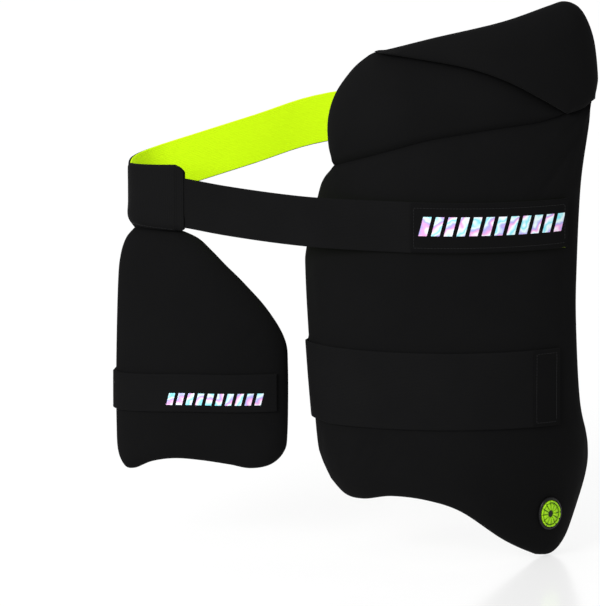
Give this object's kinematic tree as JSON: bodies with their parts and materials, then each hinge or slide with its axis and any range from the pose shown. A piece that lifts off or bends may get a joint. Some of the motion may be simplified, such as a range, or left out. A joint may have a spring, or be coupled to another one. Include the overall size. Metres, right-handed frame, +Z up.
{
  "type": "cricket thigh guard set",
  "caption": "Padded outer and inner thigh guards hung from one elastic waist belt, each with an elastic strap that loops round the leg.",
  "frame": {"origin": "middle of the wearer's waist, level with the middle of the belt where it crosses the front of the outer guard", "axes": "+Z up the body, -Y the front that the guards face, +X towards the outer guard's side"},
  "size_m": [0.457, 0.2692, 0.5376],
  "materials": {
    "pad_fabric": "matte",
    "elastic": "matte",
    "belt_lining": "matte",
    "badge_rubber": "satin",
    "badge_emblem": "satin"
  },
  "bodies": {
    "root": {"outer_main_pad": "pad_fabric", "outer_hip_panel": "pad_fabric", "outer_top_flap": "pad_fabric", "outer_badge_base": "badge_rubber", "outer_badge_emblem": "badge_emblem", "waist_belt": "elastic", "waist_belt_lining": "belt_lining", "belt_tab": "pad_fabric", "outer_strap": "elastic", "outer_strap_tab": "pad_fabric", "inner_hanger": "elastic", "inner_pad": "pad_fabric", "inner_strap": "elastic"}
  },
  "joints": []
}
